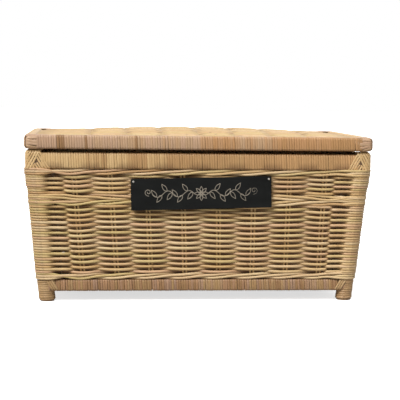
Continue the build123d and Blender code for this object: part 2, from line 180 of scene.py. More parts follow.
class Mesh:
    """Collects swept sections and makes one mesh of them."""

    def __init__(self):
        self.points = []
        self.faces = []
        self.rod = []
        self.ring = []
        self.count = 0

    def sweep(self, sections, rod, ring):
        """Adds a capped tube. sections is (rings, corners, 3); rod and ring are its attributes."""
        first, last = sections[:1], sections[-1:]
        near_first, near_last = close_by(sections[:2]), close_by(sections[:-3:-1])
        sections = np.concatenate([first, near_first, sections[1:-1], near_last, last])
        rod = np.concatenate([rod[:1], rod, rod[-1:]])
        rings, sides = sections.shape[:2]
        index = np.arange(rings * sides).reshape(rings, sides) + self.count
        after = np.roll(index, -1, axis=1)
        quads = np.stack([index[:-1], after[:-1], after[1:], index[1:]], axis=-1)
        ladder = [[i, i + 1, sides - 2 - i, sides - 1 - i] for i in range(sides // 2 - 1)]
        self.faces.append(quads.reshape(-1, 4))
        self.faces.append(index[0][ladder][:, ::-1])
        self.faces.append(index[-1][ladder])
        self.points.append(sections.reshape(-1, 3))
        self.rod.append(np.broadcast_to(rod, sections.shape).reshape(-1, 3))
        self.ring.append(np.broadcast_to(ring, sections.shape).reshape(-1, 3))
        self.count += rings * sides

    def rod_along(self, path, radius, tint, depth, start):
        """Adds a round rod along a path; radius and depth may vary along it."""
        tangent = unit(np.gradient(path, axis=0))
        across = unit(np.cross(UP, tangent))
        upward = np.cross(tangent, across)
        angles = np.arange(RING) * 2 * math.pi / RING
        cos, sin = np.cos(angles), np.sin(angles)
        round_it = cos[None, :, None] * across[:, None] + sin[None, :, None] * upward[:, None]
        sections = path[:, None] + spread_out(radius, path) * round_it
        full = np.full(len(path), 1.0)
        rod = np.stack([distances(path, start), full * tint, full * depth], axis=-1)
        ring = np.stack([cos, sin, np.full(RING, tint * 7)], axis=-1)
        self.sweep(sections, rod[:, None], ring[None])

    def ribbon(self, path, normal, width, tint, crest=CREST, depth=0.05, start=0.0):
        """Adds a flat strip of peel along a path, with its crown turned along the normals."""
        normal = unit(np.asarray(normal, float))
        across = unit(np.cross(normal, np.gradient(path, axis=0)))
        side = RIBBON[:, 0][None, :, None] * spread_out(width, path) * across[:, None]
        lift = RIBBON[:, 1][None, :, None] * spread_out(crest, path) * normal[:, None]
        full = np.full(len(path), 1.0)
        rod = np.stack([distances(path, start), full * tint, full * depth], axis=-1)
        ring = np.zeros((1, len(RIBBON), 3))
        ring[0, :, 0] = RIBBON[:, 0] * 2
        self.sweep(path[:, None] + side + lift, rod[:, None], ring)

    def finish(self, name, body, material, slot, *replaced):
        """Makes one piece of all that was added."""
        points = np.concatenate(self.points)
        faces = np.concatenate(self.faces)
        mesh = bpy.data.meshes.new(name)
        mesh.vertices.add(len(points))
        mesh.vertices.foreach_set("co", points.ravel())
        mesh.loops.add(faces.size)
        mesh.loops.foreach_set("vertex_index", faces.ravel())
        mesh.polygons.add(len(faces))
        mesh.polygons.foreach_set("loop_start", np.arange(0, faces.size, 4))
        mesh.update(calc_edges=True)
        mesh.validate()
        for label, rows in (("rod", self.rod), ("ring", self.ring)):
            layer = mesh.attributes.new(label, "FLOAT_VECTOR", "POINT")
            layer.data.foreach_set("vector", np.concatenate(rows).ravel())
        mesh.polygons.foreach_set("use_smooth", np.ones(len(mesh.polygons), bool))
        add_piece(name, mesh, body, material, slot, *replaced)


# ---- materials


class Nodes:
    """A short way to write the node tree of a material or a world."""

    def __init__(self, owner, shader="Principled BSDF"):
        owner.use_nodes = True
        self.owner = owner
        self.tree = owner.node_tree
        self.shader = self.tree.nodes[shader]

    def add(self, kind, values=(), **settings):
        node = self.tree.nodes.new(kind)
        for key, value in settings.items():
            setattr(node, key, value)
        for key, value in dict(values).items():
            self.put(node.inputs[key], value)
        return node

    def put(self, socket, value):
        if isinstance(value, bpy.types.NodeSocket):
            self.tree.links.new(value, socket)
        else:
            socket.default_value = value

    def finish(self, tone, texture, gain, base):
        """Sets the colour, and a roughness that goes with a texture."""
        self.put(self.shader.inputs["Base Color"], tone)
        self.put(self.shader.inputs["Roughness"], self.math("ADD", self.times(texture, gain), base))
        return self.owner

    def times(self, a, b, clamp=False):
        return self.math("MULTIPLY", a, b, clamp)

    def math(self, operation, a, b=0.0, clamp=False):
        node = self.add("ShaderNodeMath", {0: a, 1: b}, operation=operation, use_clamp=clamp)
        return node.outputs[0]

    def mix(self, factor, a, b, blend="MIX"):
        node = self.add("ShaderNodeMix", data_type="RGBA", blend_type=blend)
        self.put(node.inputs["Factor"], factor)
        self.put(node.inputs["A"], a)
        self.put(node.inputs["B"], b)
        return node.outputs["Result"]

    def ramp(self, factor, stops):
        node = self.add("ShaderNodeValToRGB", {"Fac": factor})
        elements = node.color_ramp.elements
        while len(elements) < len(stops):
            elements.new(0.5)
        for element, (place, colour) in zip(elements, stops):
            element.position = place
            element.color = (*colour, 1)
        return node.outputs["Color"]

    def noise(self, vector, scale, detail=2.0, roughness=0.5):
        values = {"Vector": vector, "Scale": scale, "Detail": detail, "Roughness": roughness}
        return self.add("ShaderNodeTexNoise", values).outputs["Fac"]

    def scaled(self, vector, factors):
        node = self.add("ShaderNodeVectorMath", {0: vector, 1: factors}, operation="MULTIPLY")
        return node.outputs[0]

    def attribute(self, name):
        node = self.add("ShaderNodeAttribute", attribute_name=name, attribute_type="GEOMETRY")
        return node.outputs["Vector"]

    def parts(self, vector):
        return self.add("ShaderNodeSeparateXYZ", {0: vector}).outputs

    def joined(self, *parts):
        return self.add("ShaderNodeCombineXYZ", dict(enumerate(parts))).outputs[0]

    def place(self):
        return self.add("ShaderNodeTexCoord").outputs["Object"]

    def bump(self, height, strength, distance):
        node = self.add("ShaderNodeBump", {"Height": height, "Strength": strength, "Distance": distance})
        self.put(self.shader.inputs["Normal"], node.outputs["Normal"])


AGED = (0.50, 0.30, 0.14, 1)
KNOT = (0.20, 0.10, 0.045, 1)
# colour of the painted shade that darkens the deep parts of the weave and the peel
PAINTED_SHADE_COLOUR = (0.11, 0.042, 0.018, 1)
PORE = (0.16, 0.08, 0.04, 1)
BARK = (0.07, 0.035, 0.018, 1)
DULL = (0.30, 0.27, 0.23, 1)


def stem_material(name, tones, roughness, knots=0.7, streak=0.18):
    """Willow or cane: a tone for each rod, streaks along the skin, darker knots, and painted shade in the
    depths.
    """
    n = Nodes(bpy.data.materials.new(name))
    along, tint, depth = n.parts(n.attribute("rod"))
    around = n.parts(n.attribute("ring"))
    tone = n.ramp(tint, [(i / (len(tones) - 1), c) for i, c in enumerate(tones)])
    place = n.joined(n.times(along, 14.0), tint, around[2])
    drift = n.noise(n.scaled(place, (1.0, 60.0, 9.0)), 1.0, 2.0)
    tone = n.mix(n.times(drift, 0.55), tone, AGED)
    lengthwise = n.math("ADD", n.times(along, 55.0), n.times(tint, 90.0))
    skin = n.joined(lengthwise, n.times(around[0], 5.0), n.times(around[1], 5.0))
    fibre = n.noise(skin, 1.0, 4.0, 0.65)
    furrow = (1 - streak * 2, 1 - streak * 2.3, 1 - streak * 2.8)
    ridge = (1 + streak * 0.4, 1 + streak * 0.4, 1 + streak * 0.3)
    streaks = n.ramp(fibre, [(0.30, furrow), (0.62, (1.0, 1.0, 1.0)), (0.85, ridge)])
    tone = n.mix(1.0, tone, streaks, "MULTIPLY")
    knot_place = n.joined(n.times(along, 9.0), n.times(tint, 300.0))
    spots = n.add("ShaderNodeTexVoronoi", {"Vector": knot_place, "Scale": 1.0}, voronoi_dimensions="2D")
    knot = n.math("SUBTRACT", 1.0, n.times(spots.outputs["Distance"], 26.0), clamp=True)
    tone = n.mix(n.times(knot, knots), tone, KNOT)
    # painted shade: the deeper a rod or strip lies, the darker it is
    tone = n.mix(n.times(n.math("POWER", depth, 1.3), 0.78, clamp=True), tone, PAINTED_SHADE_COLOUR)
    n.shader.inputs["Specular IOR Level"].default_value = 0.45
    n.bump(n.math("ADD", fibre, n.times(knot, 0.8)), 0.35, 0.0004)
    return n.finish(tone, fibre, 0.25, roughness - 0.12)


def bare_wood(name, light, dark, brown_beyond=None):
    """Pole, lath or stake: upright grain with pores. Where brown_beyond gives an axis and a distance from the
    middle along it, whatever stands further out keeps its brown bark."""
    n = Nodes(bpy.data.materials.new(name))
    where = n.place()
    grain = n.noise(n.scaled(where, (60.0, 240.0, 9.0)), 1.0, 5.0, 0.6)
    pores = n.noise(n.scaled(where, (900.0, 900.0, 40.0)), 1.0, 2.0)
    tone = n.ramp(grain, [(0.3, dark), (0.7, light)])
    tone = n.mix(n.times(n.math("GREATER_THAN", pores, 0.62), 0.35), tone, PORE)
    if brown_beyond:
        axis, distance = brown_beyond
        barked = n.math("GREATER_THAN", n.math("ABSOLUTE", n.parts(where)[axis]), distance)
        tone = n.mix(n.times(barked, 0.9), tone, BARK)
    n.bump(grain, 0.3, 0.0005)
    return n.finish(tone, grain, 0.2, 0.5)


def slate_material():
    """Honed black slate with a faint cleft and slightly lighter clouds."""
    n = Nodes(bpy.data.materials.new("slate"))
    where = n.place()
    cloud = n.noise(n.scaled(where, (14.0, 14.0, 30.0)), 1.0, 4.0, 0.6)
    cleft = n.noise(n.scaled(where, (90.0, 90.0, 420.0)), 1.0, 6.0, 0.7)
    tone = n.ramp(cloud, [(0.3, (0.004, 0.0045, 0.0045)), (0.7, (0.009, 0.010, 0.010))])
    n.shader.inputs["Specular IOR Level"].default_value = 0.14
    n.bump(cleft, 0.35, 0.0004)
    return n.finish(tone, cleft, 0.3, 0.50)


def steel_material(name, colour, roughness):
    """Plated steel with fine draw marks and dull spots."""
    n = Nodes(bpy.data.materials.new(name))
    where = n.place()
    marks = n.noise(n.scaled(where, (120.0, 2600.0, 2600.0)), 1.0, 3.0)
    spots = n.noise(where, 260.0, 3.0, 0.6)
    tone = n.mix(n.times(spots, 0.45), (*colour, 1), DULL)
    n.shader.inputs["Metallic"].default_value = 1.0
    n.bump(marks, 0.15, 0.0002)
    return n.finish(tone, marks, 0.25, roughness - 0.1)


def paint_material():
    """Chalky beige paint in the plate's ornament."""
    n = Nodes(bpy.data.materials.new("ornament_paint"))
    where = n.place()
    chalk = n.noise(where, 900.0, 4.0, 0.7)
    tone = n.ramp(chalk, [(0.3, (0.17, 0.15, 0.12)), (0.65, (0.33, 0.29, 0.23))])
    n.bump(chalk, 0.3, 0.0002)
    return n.finish(tone, chalk, 0.2, 0.6)


STRAW = (0.72, 0.53, 0.27)
HONEY = (0.64, 0.43, 0.19)
PINKISH = (0.69, 0.45, 0.27)
GREENISH = (0.62, 0.50, 0.21)
PALE = (0.79, 0.63, 0.38)
TOASTED = (0.52, 0.32, 0.14)

willow = stem_material("willow", [HONEY, STRAW, GREENISH, PALE, STRAW, PINKISH, PALE, TOASTED], 0.46)
PEELED = ((0.66, 0.46, 0.22), (0.48, 0.30, 0.12))  # light and dark grain of a peeled rod
LONG_BARK = (0, 0.302)  # the single stakes of a long wall stand further out than this along X
SHORT_BARK = (1, 0.126)  # and those of a short wall further out than this along Y
rib_willow = bare_wood("rib_willow", *PEELED)
long_stakes = bare_wood("long_stakes", *PEELED, LONG_BARK)
short_stakes = bare_wood("short_stakes", *PEELED, SHORT_BARK)

RIM_TONES = [
    (0.72, 0.52, 0.27), (0.66, 0.46, 0.22), (0.43, 0.26, 0.11),
    (0.45, 0.26, 0.11), (0.62, 0.36, 0.16), (0.30, 0.16, 0.07),
]
LID_TONES = [
    (0.47, 0.31, 0.22), (0.54, 0.37, 0.27), (0.52, 0.36, 0.23),
    (0.52, 0.28, 0.13), (0.46, 0.25, 0.10), (0.22, 0.12, 0.06),
]
# paler tones of the lid's cane for its two end rails: painted light
PAINTED_LIGHT_END_TONES = [
    (0.62, 0.44, 0.26), (0.70, 0.52, 0.30), (0.64, 0.44, 0.24),
    (0.66, 0.50, 0.28), (0.58, 0.38, 0.20), (0.30, 0.16, 0.07),
]
BASE_TONES = [
    (0.33, 0.21, 0.16), (0.42, 0.24, 0.14), (0.27, 0.15, 0.07),
    (0.42, 0.28, 0.13), (0.40, 0.26, 0.20), (0.14, 0.07, 0.04),
]
FOOT_TONES = [
    (0.48, 0.30, 0.17), (0.52, 0.34, 0.19), (0.40, 0.26, 0.13),
    (0.50, 0.34, 0.17), (0.56, 0.40, 0.22), (0.16, 0.08, 0.04),
]
rim_cane = stem_material("rim_cane", RIM_TONES, 0.42, knots=0.3, streak=0.14)
lid_cane = stem_material("lid_cane", LID_TONES, 0.42, knots=0.3, streak=0.16)
# the lid's end rails: the same cane, made paler as painted light
painted_light_end_cane = stem_material("painted_light_end_cane", PAINTED_LIGHT_END_TONES, 0.42, knots=0.3, streak=0.14)
base_cane = stem_material("base_cane", BASE_TONES, 0.46, knots=0.3, streak=0.22)
foot_cane = stem_material("foot_cane", FOOT_TONES, 0.46, knots=0.3, streak=0.22)
pole = bare_wood("pole", (0.44, 0.28, 0.14), (0.28, 0.16, 0.08))
# near-black wood of the rail cores and corner blocks: painted shade for what shows between the strips of peel
painted_shade_pole = bare_wood("painted_shade_pole", (0.15, 0.085, 0.04), (0.09, 0.05, 0.025))
slate = slate_material()
steel = steel_material("zinc_steel", (0.62, 0.60, 0.56), 0.42)
nail_steel = steel_material("nail_steel", (0.86, 0.85, 0.82), 0.28)
paint = paint_material()

CAD_MATERIALS = [  # and the first words of the CAD nodes that have them
    (pole, ("corner_post", "base_crossbar")),
    # rail cores: near-black, painted shade between the strips
    (painted_shade_pole, ("rim_rail", "base_rail", "lid_rail")),
    (long_stakes, ("wall_stakes_front", "wall_stakes_rear")),
    (short_stakes, ("wall_stakes_left", "wall_stakes_right")),
    (rib_willow, ("base_ribs", "lid_ribs")),
    (slate, ("name_plate",)),
    (nail_steel, ("plate_nails",)),
    (steel, ("hinge_", "body_hinge_screws", "lid_hinge_screws")),
]
for node_name, node in frame["nodes"].items():
    for material, starts in CAD_MATERIALS:
        if node_name.startswith(starts):
            for material_slot in node.material_slots:
                material_slot.material = material

# ---- walls

REST_OUT = POST_RADIUS + WEAVER - WALL_OUT  # a weaver on the outside of a post, out from the wall's middle
FACE_OUT = STAKE + WEAVER  # a weaver on the outside of a stake
QUARTER = (POST_RADIUS + WEAVER) * math.pi / 4  # half the way round a post's outer quarter
CORNER_PAINTED_SHADE = 0.30  # extra depth, and so extra painted shade, of the rods round a post: the photo's corners are darker
SPLICE = 0.0055  # how far inwards the end of a row's first rod goes
INNER_GIRTH = {"front": 0.0009, "right": 0.0015, "rear": 0.0015, "left": 0.0015}  # of a rod inside the trunk


def wall_rise(z):
    """0 at the foot of the walls, 1 at the rim."""
    return (z - WALL_BOTTOM) / (WALL_TOP - WALL_BOTTOM)


def pair_fractions(count):
    """Even places of double stakes or ribs, from -1 to 1."""
    return [2 * k / (count + 1) - 1 for k in range(1, count + 1)]


def stake_places(side, z):
    """Places of the double stakes along a wall at height z."""
    count = LONG_PAIRS if side in ("front", "rear") else SHORT_PAIRS
    shift = 0.0
    if side == "front":
        shift = FRONT_FEET_SHIFT + (FRONT_HEADS_SHIFT - FRONT_FEET_SHIFT) * wall_rise(z)
    return [fraction * wall_span(side, z) + shift for fraction in pair_fractions(count)]


def swell(z):
    """Extra girth of the corner wraps: more towards the rim, and more again above the double wale."""
    return 0.0018 * wall_rise(z) + 0.0022 * smooth((z - 0.262) / 0.010)


def profile(u, stations):
    """Runs smoothly through stations of (place, value, half length of the level part)."""
    value = np.full(len(u), stations[0][1])
    for (a, va, fa), (b, vb, fb) in zip(stations, stations[1:]):
        start, stop = a + fa, b - fb
        inside = u > start
        value[inside] = va + (vb - va) * smooth((u[inside] - start) / max(stop - start, 1e-6))
    return value


COLUMN_BOW = {side: rng.uniform(0.0004, 0.0016, LONG_PAIRS) for side in SIDES}  # sag of a row at each stake
COLUMN_BOW["front"][0] = 0.0024
WAVE = {side: rng.uniform(0, 2 * math.pi, 2) for side in SIDES}


def sag(side, u, z, places, freedom):
    """Height by which a row leaves the level: a bow at each double stake and a slow wave, none at the posts."""
    span = wall_span(side, z)
    total = np.zeros(len(u))
    half = 0.5 * (places[1] - places[0])
    for place, bow in zip(places, COLUMN_BOW[side]):
        reach = np.clip(np.abs(u - place) / half, 0, 1)
        total -= bow * rng.normal(1.0, freedom) * 0.5 * (1 + np.cos(math.pi * reach))
    a, b = WAVE[side]
    wave = np.sin(u * 13 + a + z * 9) + 0.6 * np.sin(u * 29 + b - z * 14)
    middle = math.sin(math.pi * wall_rise(z))
    ends = np.clip(1 - np.abs(u / span) ** 6, 0, 1)
    own = 0.00022 * np.sin(u * rng.uniform(12, 45) + rng.uniform(0, 6))
    return (total + 0.0011 * wave * max(middle, 0) + own) * ends


def depth_of(w):
    """0 on the wall's outer side, 1 on its inner side."""
    return np.clip(0.5 - w / (2 * FACE_OUT), 0.04, 1)


def lay_row(mesh, side, z, stations, climb, freedom, corner_rods):
    """One row of a wall as two rods: the first ends inside the trunk behind a double stake, where the second
    begins. climb gives the height that the row gains along it."""
    out, along = SIDES[side]
    span = wall_span(side, z)
    stakes = stake_places(side, z)
    u = np.linspace(-span, span, int(2 * span / 0.0062))
    w = profile(u, stations)
    join = rng.choice([place for place, value, _ in stations if value < 0 and place in stakes])
    rise = climb(u) + sag(side, u, z, stakes, freedom)
    tail = np.clip((u - (join - 0.030)) / 0.042, 0, 1) ** 2 * SPLICE
    for which, (tint, radius, _) in enumerate(corner_rods):
        part = u >= join - 0.010 if which else u <= join + 0.012
        places = u[part]
        offset = w[part] - (0 if which else tail[part])
        reach = wall_out(side, z) + WALL_OUT + offset
        x, y = (out[i] * reach + along[i] * places for i in (0, 1))
        # depth gives the rods behind the stakes and inside the trunk painted shade
        depth = depth_of(offset)
        ends = np.clip((span - np.abs(places)) / 0.03, 0, 1)
        girth = radius * (1 + 0.06 * ends * np.sin(places * 23 + tint * 40)) + INNER_GIRTH[side] * depth
        start = tint * 3 - QUARTER - (places[-1] - places[0]) if which else tint * 3 + QUARTER
        mesh.rod_along(np.stack([x, y, z + rise[part]], axis=-1), girth, tint, depth, start)


def randing_row(mesh, side, z, phase, corner_rods):
    """A single weaver, in and out of the double stakes, and always outside the posts."""
    places = stake_places(side, z)
    span = wall_span(side, z)
    sign = -1 if phase else 1
    stations = [(-span, REST_OUT + corner_rods[0][2], 0.011)]
    stations.append((-span + END_STAKE, FACE_OUT * (1.1 if phase else -1.0), 0.013))
    for place in places:
        stations.append((place, sign * FACE_OUT, 0.014))
        sign = -sign
    stations.append((span - END_STAKE, FACE_OUT * (1.1 if sign > 0 else -1.0), 0.013))
    stations.append((span, REST_OUT + corner_rods[1][2], 0.011))
    lay_row(mesh, side, z, stations, lambda u: 0.0, 0.25, corner_rods)


def wale_row(mesh, side, z, turn, climb, level, proud, corner_rods):
    """One of a wale's three rods: over two double stakes and behind one, climbing or falling as it goes."""
    places = stake_places(side, z)
    span = wall_span(side, z)
    pitch = places[1] - places[0]
    stations = [(-span, REST_OUT + corner_rods[0][2], 0.014)]
    levels = [(-span, level, 0.016)]
    for i, place in enumerate(places):
        step = (i + turn) % 3
        stations.append((place, -FACE_OUT if step == 2 else STAKE + WALE + proud, 0.012))
        levels.append((place - 0.25 * pitch, climb * (-0.75, 0.25, 0.50)[step], 0.0))
        levels.append((place + 0.25 * pitch, climb * (-0.25, 0.75, -0.50)[step], 0.0))
    stations.append((span, REST_OUT + corner_rods[1][2], 0.014))
    levels.append((span, level, 0.016))
    knees = [place + way * half for place, _, half in levels for way in (-1, 1)]
    heights = np.repeat([value for _, value, _ in levels], 2)

    def climbing(u):
        rise = np.interp(u, knees, heights)
        return np.convolve(np.pad(rise, 2, mode="edge"), np.ones(5) / 5, mode="valid")

    lay_row(mesh, side, z, stations, climbing, 0.1, corner_rods)


def randing_courses(low, high, phase, row=ROW):
    """Rows of randing between two heights."""
    count = round((high - low) / row)
    return [("randing", low + (high - low) * k / count, (k + phase) % 2, 0.0, 0.0) for k in range(count + 1)]


def courses():
    """The rows of the walls from the base to the rim: kind, height, phase or climb, spacing at the posts, and
    how far they stand proud."""
    bottom_wale = WALL_BOTTOM + 0.0078
    lower_wale = WALL_TOP - 0.0763
    upper_wale = WALL_TOP - 0.0643
    top_wale = WALL_TOP - 0.0058
    rows = [("wale", bottom_wale, WALE_CLIMB, 0.0058, 0.0)]
    rows += randing_courses(bottom_wale + 0.0100, lower_wale - 0.0098, 0)
    rows.append(("wale", lower_wale, WALE_CLIMB, 0.0042, 0.0))
    rows.append(("wale", upper_wale, -WALE_CLIMB, 0.0042, 0.0))
    rows += randing_courses(upper_wale + 0.0098, top_wale - 0.0108, 1, 0.0054)
    rows.append(("wale", top_wale, WALE_CLIMB, 0.0054, 0.0030))
    return rows


def corner_arc(mesh, corner, z, tint, radius, extra):
    """A weaver round the outside of a post, from one wall to the next."""
    (sign_x, sign_y), before, _ = CORNERS[corner]
    out = SIDES[before][0]
    angles = math.atan2(out[1], out[0]) + np.linspace(0, math.pi / 2, 13)
    reach = POST_RADIUS + WEAVER + extra
    x = sign_x * post_x(z) + reach * np.cos(angles)
    y = sign_y * post_y(z) + reach * np.sin(angles)
    path = np.stack([x, y, np.full(len(angles), z)], axis=-1)
    lead = 0.003 * np.array([[-math.sin(a), math.cos(a), 0.0] for a in (angles[0], angles[-1])])
    path = np.concatenate([[path[0] - lead[0]], path, [path[-1] + lead[1]]])
    # the rods round a post get extra depth, and so darker painted shade
    mesh.rod_along(path, radius, tint, depth_of(REST_OUT + extra) + CORNER_PAINTED_SHADE, tint * 3 - QUARTER)


def build_walls():
    walls = {side: Mesh() for side in SIDES}
    wraps = {corner: Mesh() for corner in CORNERS}
    corner_before = {after: corner for corner, (_, _, after) in CORNERS.items()}
    corner_after = {before: corner for corner, (_, before, _) in CORNERS.items()}
    for kind, z, option, spacing, proud in courses():
        is_wale = kind == "wale"
        for turn in range(3 if is_wale else 1):
            level = (1 - turn) * spacing if is_wale else 0.0
            inner = 0.0012 if is_wale and turn == 1 and spacing < 0.005 else 0.0
            rods = {}
            for corner in CORNERS:
                radius = (WALE if is_wale else WEAVER) * rng.uniform(0.92, 1.07)
                extra = swell(z) + inner + 0.3 * proud + rng.uniform(-0.0002, 0.0004)
                rods[corner] = (rng.random(), radius, extra)
                corner_arc(wraps[corner], corner, z + level, *rods[corner])
            for side in SIDES:
                ends = (rods[corner_before[side]], rods[corner_after[side]])
                if is_wale:
                    wale_row(walls[side], side, z, turn, option, level, proud, ends)
                else:
                    randing_row(walls[side], side, z, option, ends)
    for side, mesh in walls.items():
        mesh.finish(f"weave_{side}", "trunk", willow, "willow", f"wall_weave_{side}")
    for corner, mesh in wraps.items():
        mesh.finish(f"corner_wrap_{corner}", "trunk", willow, "willow", f"corner_weave_{corner}")


# ---- lid panel and floor


def panel(name, node, body, radius, pitch, climb, height_at):
    """A woven panel: rods over and under the double ribs by a climb, with painted shade on the low passes and
    in some of the hollows between them; height_at(x, y) is the ribs' middle."""
    low, high = corners(node)
    mesh = Mesh()
    first, last = low[1] - 0.0005, high[1] + 0.0005
    rows = int(round((last - first) / pitch))
    ribs = [fraction * high[0] for fraction in pair_fractions(LONG_PAIRS)]
    hollows = [(a + b) / 2 for a, b in zip(ribs, ribs[1:])]
    x = np.linspace(low[0] - 0.003, high[0] + 0.003, int((high[0] - low[0]) / 0.0068))
    for k in range(rows + 1):
        y = first + (last - first) * k / rows
        sign = 1 if k % 2 else -1
        stations = [(x[0], 0.0, 0.01)]
        for rib in ribs:
            stations.append((rib, sign * climb * rng.uniform(0.85, 1.1), 0.022))
            sign = -sign
        stations.append((x[-1], 0.0, 0.01))
        offset = profile(x, stations)
        tint = rng.random()
        wander = 0.0007 * np.sin(x * rng.uniform(8, 25) + rng.uniform(0, 6))
        path = np.stack([x, y + wander, height_at(x, y) + offset], axis=-1)
        # painted shade: darker where a rod dips under a rib, and in some hollows between the ribs
        depth = np.clip(0.40 - 0.36 * offset / climb, 0.04, 1)
        for hollow in hollows:
            if rng.random() < (0.7 if 0 < k < 4 else 0.25):
                depth = np.maximum(depth, rng.uniform(0.4, 0.8) * smooth(1.6 - np.abs(x - hollow) / 0.014))
        mesh.rod_along(path, radius * rng.uniform(0.93, 1.06), tint, depth, tint * 3)
    mesh.finish(name, body, willow, "willow", node)


rib_low, rib_high = corners("lid_ribs")
LID_EDGE = rib_low[2] + STAKE  # the ribs' middle at the panel's edge
LID_RISE = rib_high[2] - rib_low[2] - 2 * STAKE
LID_HALF = corners("lid_weave")[1][0]


def lid_height(x, y):
    """The dome of the lid."""
    return LID_EDGE + (0.0005 + LID_RISE * (1 - (x / LID_HALF) ** 2)) * (1 - (y / rib_high[1]) ** 2)


def build_panels():
    panel("lid_panel", "lid_weave", "lid", radius=0.0036, pitch=0.0048, climb=0.0028, height_at=lid_height)
    floor_low, floor_high = corners("base_ribs")
    middle = (floor_low[2] + floor_high[2]) / 2
    panel("floor_panel", "base_weave", "trunk", radius=0.0028, pitch=0.0046, climb=0.0034,
          height_at=lambda x, y: middle + 0 * x)


# ---- wound peel


def rounded_outline(width, height, radius):
    """Points and outward normals round a rounded rectangle, starting at the middle of its lower side."""
    rows = [(0.0, -height / 2, 0.0, -1.0)]
    for quarter, (cx, cy) in enumerate(((1, -1), (1, 1), (-1, 1), (-1, -1))):
        for t in np.linspace(0, 1, 4):
            angle = -math.pi / 2 + (quarter + t) * math.pi / 2
            x, y = math.cos(angle), math.sin(angle)
            centre = (cx * (width / 2 - radius), cy * (height / 2 - radius))
            rows.append((centre[0] + radius * x, centre[1] + radius * y, x, y))
        if quarter in (0, 2):
            rows.append((cx * width / 2, 0.0, cx, 0.0))
    outline = np.array(rows)
    steps = np.linalg.norm(np.diff(outline[:, :2], axis=0, append=outline[:1, :2]), axis=1)
    place = np.concatenate([[0], np.cumsum(steps)])
    return outline, place[:-1] / place[-1]


TREND_REACH = 0.4  # a trend of tints goes over this far to each side of the middle


def patchy(length, jump, trend=(0.0, 0.8), dark=(), spread=0.5):
    """Tints for a run of peel. One length of cane lasts a stretch, single turns differ, the turns at the dark
    places are brown, and the run as a whole goes from one end of the trend to the other."""
    shades = rng.uniform(0, 1, 60)
    shift = rng.uniform(0, 1)

    def tint(place):
        for middle, half in dark:
            if abs(place - middle) < half:
                return rng.uniform(0.92, 1.0)
        level = trend[0] + (trend[1] - trend[0]) * np.clip(0.5 + 0.5 * place / TREND_REACH, 0, 1)
        own = shades[int((place + 2.0) / length + shift) % 60] * (1 - jump) + rng.random() * jump
        return float(np.clip(level + spread * (own - 0.5), 0, 0.88))

    return tint


def wind(mesh, axis, low, high, centre, width, height, shade, slack_low, painted_shade):
    """Winds peel round a level rail from low to high along an axis, 0 for X or 1 for Y. The last argument gives
    the painted shade at a place along the rail, a height over its lower side and an upward lean of the surface."""
    outline, phase = rounded_outline(width - 2 * CREST, height - 2 * CREST, 0.0050)
    turns = int(round((high - low) / STRIP))
    step = (high - low) / turns
    per = len(outline)
    turn = np.arange(turns * per) // per
    k = np.arange(turns * per) % per
    t = phase[k]
    tilt = rng.normal(0, 0.00030, turns + 1)
    lift = rng.normal(0, 0.00014, turns + 1)
    slack = rng.uniform(slack_low, 1.04, turns + 1)
    lift, tilt, slack = (each[turn] * (1 - t) + each[turn + 1] * t for each in (lift, tilt, slack))
    path = np.zeros((len(t), 3))
    normal = np.zeros((len(t), 3))
    path[:, axis] = np.clip(low + step * (turn + t) + tilt, low + step * 0.3, high - step * 0.3)
    path[:, 1 - axis] = centre[0] + outline[k, 0] + outline[k, 2] * lift
    path[:, 2] = centre[1] + outline[k, 1] + outline[k, 3] * lift
    normal[:, 1 - axis] = outline[k, 2]
    normal[:, 2] = outline[k, 3]
    tints = np.array([shade(low + step * (i + 0.5)) for i in range(turns + 1)])
    # painted shade on the peel, as depth
    depth = painted_shade(path[:, axis], outline[k, 1] + height / 2, outline[k, 3])
    mesh.ribbon(path, normal, step * slack * 1.02, tints[turn], depth=depth)


def rim_painted_shade(pitch):
    """Painted shade on the rim: on its top, and along its lower edge between the stakes."""

    def depth(place, height, lean):
        between = 0.5 + 0.5 * np.cos(2 * math.pi * place / pitch)
        edge = smooth((0.0035 + 0.0095 * between - height) / 0.0045)
        return 0.05 + 0.60 * smooth(lean) + 0.62 * edge

    return depth


def under_painted_shade(place, height, lean):
    """Painted shade on the lid's frame: on its lower side, over the gap."""
    return 0.05 + 0.55 * smooth(-lean)


def edge_painted_shade(place, height, lean):
    """Painted shade along the upper edge of the base, under the weave."""
    return 0.10 + 0.35 * smooth((height - 0.022) / 0.006)


def wrap_rail(frame_part, side, body, material, painted_shade, shade, extend=0.0, slack_low=0.93):
    """Peel wound round one rail of the rim, the base or the lid, and on under the binding at its ends."""
    node = f"{frame_part}_wrap_{side}"
    low, high = corners(node)
    axis = 0 if high[0] - low[0] > high[1] - low[1] else 1
    other = 1 - axis
    mesh = Mesh()
    centre = ((low[other] + high[other]) / 2, (low[2] + high[2]) / 2)
    size = (high[other] - low[other], high[2] - low[2])
    wind(mesh, axis, low[axis] - extend, high[axis] + extend, centre, *size, shade, slack_low, painted_shade)
    mesh.finish(f"{frame_part}_peel_{side}", body, material, f"{frame_part}_peel", node)


FOOT_ROUND = 0.007  # height over which the foot's wraps close in


